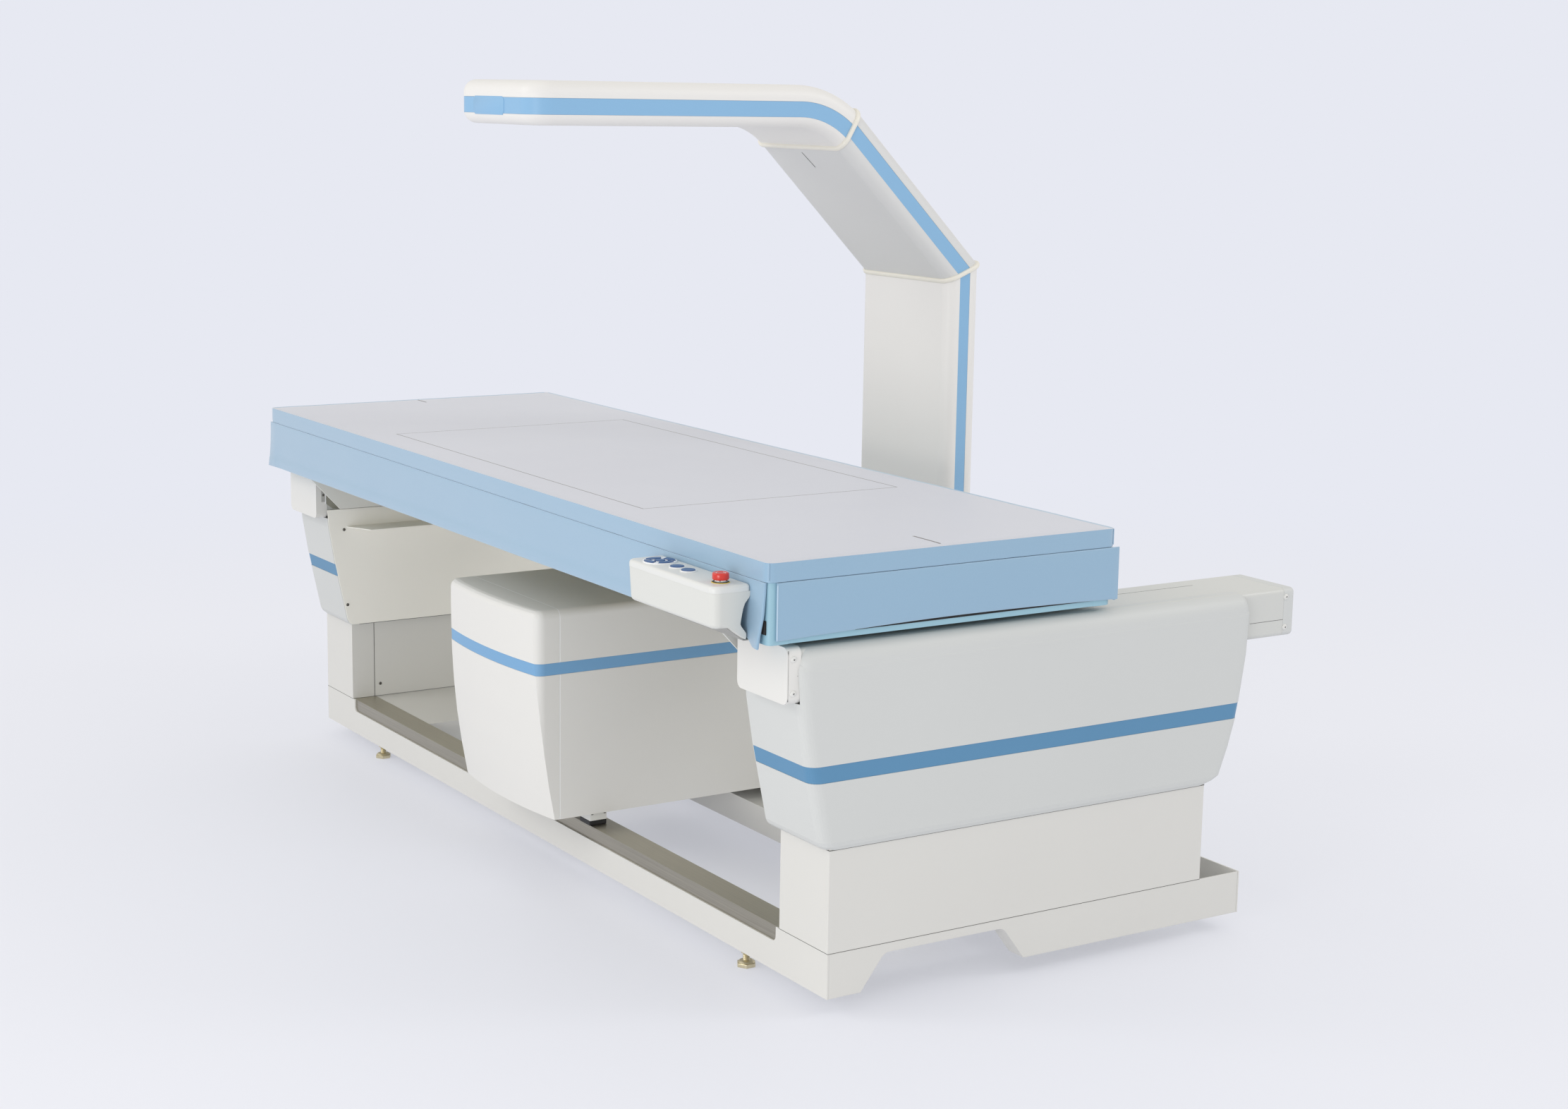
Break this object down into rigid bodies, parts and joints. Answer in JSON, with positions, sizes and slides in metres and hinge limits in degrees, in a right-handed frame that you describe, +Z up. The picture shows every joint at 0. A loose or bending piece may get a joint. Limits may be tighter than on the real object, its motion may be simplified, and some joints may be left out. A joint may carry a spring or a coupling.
{
  "type": "bone densitometer",
  "caption": "Whole-body bone densitometer: a padded scanning table on cross rails over a steel base, with a C-arm scanner that travels along it.",
  "frame": {"origin": "on the floor, under the middle of the whole machine's footprint", "axes": "+X along the table towards its control panel end, +Y from the operator's side towards the C-arm's column, +Z up"},
  "size_m": [2.032, 1.1434, 1.4315],
  "materials": {
    "base_paint": "fine-textured powder coat, satin",
    "cover_plastic": "moulded, very fine texture",
    "band_blue": "satin moulded stripe",
    "panel_paint": "smooth powder coat",
    "rail_paint": "smooth powder coat",
    "guide_steel": "ground bar",
    "runway_steel": "brushed, slightly olive",
    "foot_zinc": "yellow zinc plate",
    "post_paint": "powder coat",
    "drive_metal": "machined",
    "belt_rubber": "moulded",
    "frame_vinyl": "powder coat, wrapped in vinyl at its corners",
    "top_panel": "sealed board",
    "mat_vinyl": "soft vinyl with a faint leather grain",
    "skirt_vinyl": "padded vinyl with a faint leather grain",
    "slide_white": "smooth powder coat",
    "block_black": "moulded",
    "shell_plastic": "moulded, fine texture",
    "lid_plastic": "smooth moulding with a printed top",
    "bracket_paint": "smooth powder coat",
    "key_navy": "silicone keys",
    "stop_black": "moulded",
    "stop_red": "glossy red moulding",
    "source_metal": "painted casting, inside",
    "lead_brass": "machined, inside",
    "motor_metal": "cast, inside",
    "arm_steel": "powder coat, inside",
    "ring_cream": "smooth moulding"
  },
  "bodies": {
    "base": {"front_beam": "base_paint", "rear_beam": "base_paint", "right_end_frame": "base_paint", "left_end_frame": "base_paint", "equipment_deck": "base_paint", "runways": "runway_steel", "levelling_feet": "foot_zinc", "right_pedestal": "base_paint", "left_pedestal": "base_paint", "support_posts": "post_paint", "right_cover": "cover_plastic", "left_cover": "cover_plastic", "right_cover_band": "band_blue", "left_cover_band": "band_blue", "right_inner_panel": "panel_paint", "left_inner_panel": "panel_paint", "right_cross_rail": "rail_paint", "left_cross_rail": "rail_paint", "right_front_cap": "cover_plastic", "left_front_cap": "cover_plastic", "rail_rear_caps": "cover_plastic", "guide_bars": "guide_steel", "table_drive": "drive_metal", "drive_belt": "belt_rubber"},
    "table": {"table_frame": "frame_vinyl", "table_top": "top_panel", "mat": "mat_vinyl", "front_skirt": "skirt_vinyl", "rear_skirt": "skirt_vinyl", "left_skirt": "skirt_vinyl", "right_skirt": "skirt_vinyl", "slide_plates": "slide_white", "bearing_blocks": "block_black", "panel_shell": "shell_plastic", "panel_lid": "lid_plastic", "panel_bracket": "bracket_paint", "stop_base": "stop_black"},
    "key_front": {"key_front": "key_navy"},
    "key_back": {"key_back": "key_navy"},
    "key_left": {"key_left": "key_navy"},
    "key_right": {"key_right": "key_navy"},
    "key_middle": {"key_middle": "key_navy"},
    "key_one": {"key_one": "key_navy"},
    "key_two": {"key_two": "key_navy"},
    "stop_stem": {"stop_stem": "stop_black"},
    "stop_head": {"stop_head": "stop_red"},
    "carm": {"carriage": "arm_steel", "slide_blocks": "block_black", "tank_nose": "cover_plastic", "tank_cover": "cover_plastic", "xray_source": "source_metal", "collimator": "lead_brass", "drive_motor": "motor_metal", "column_cover": "shell_plastic", "slant_cover": "shell_plastic", "arm_cover": "shell_plastic", "arm_bands": "band_blue", "bend_rings": "ring_cream", "arm_beam": "arm_steel", "detector": "motor_metal"}
  },
  "joints": [
    {"name": "carm_travel", "type": "slide", "parent": "base", "child": "carm", "axis": [1, 0, 0], "range_m": [-0.555, 0.455]},
    {"name": "table_shift", "type": "slide", "parent": "base", "child": "table", "axis": [0, 1, 0], "range_m": [0, 0.225]},
    {"name": "stop_press", "type": "slide", "parent": "table", "child": "stop_stem", "axis": [0, 0, -1], "range_m": [0, 0.0025], "stiffness_N_per_m": 4000, "springref_m": -0.001},
    {"name": "stop_release", "type": "hinge", "parent": "stop_stem", "child": "stop_head", "pos_m": [0.93, -0.53875, 0.7], "axis": [0, 0, -1], "range_deg": [0, 40], "stiffness_Nm_per_rad": 0.06, "springref_deg": -5.73},
    {"name": "key_front_press", "type": "slide", "parent": "table", "child": "key_front", "axis": [0, 0, -1], "range_m": [0, 0.001], "stiffness_N_per_m": 1500, "springref_m": -0.0003},
    {"name": "key_back_press", "type": "slide", "parent": "table", "child": "key_back", "axis": [0, 0, -1], "range_m": [0, 0.001], "stiffness_N_per_m": 1500, "springref_m": -0.0003},
    {"name": "key_left_press", "type": "slide", "parent": "table", "child": "key_left", "axis": [0, 0, -1], "range_m": [0, 0.001], "stiffness_N_per_m": 1500, "springref_m": -0.0003},
    {"name": "key_right_press", "type": "slide", "parent": "table", "child": "key_right", "axis": [0, 0, -1], "range_m": [0, 0.001], "stiffness_N_per_m": 1500, "springref_m": -0.0003},
    {"name": "key_middle_press", "type": "slide", "parent": "table", "child": "key_middle", "axis": [0, 0, -1], "range_m": [0, 0.001], "stiffness_N_per_m": 1500, "springref_m": -0.0003},
    {"name": "key_one_press", "type": "slide", "parent": "table", "child": "key_one", "axis": [0, 0, -1], "range_m": [0, 0.001], "stiffness_N_per_m": 1500, "springref_m": -0.0003},
    {"name": "key_two_press", "type": "slide", "parent": "table", "child": "key_two", "axis": [0, 0, -1], "range_m": [0, 0.001], "stiffness_N_per_m": 1500, "springref_m": -0.0003}
  ]
}
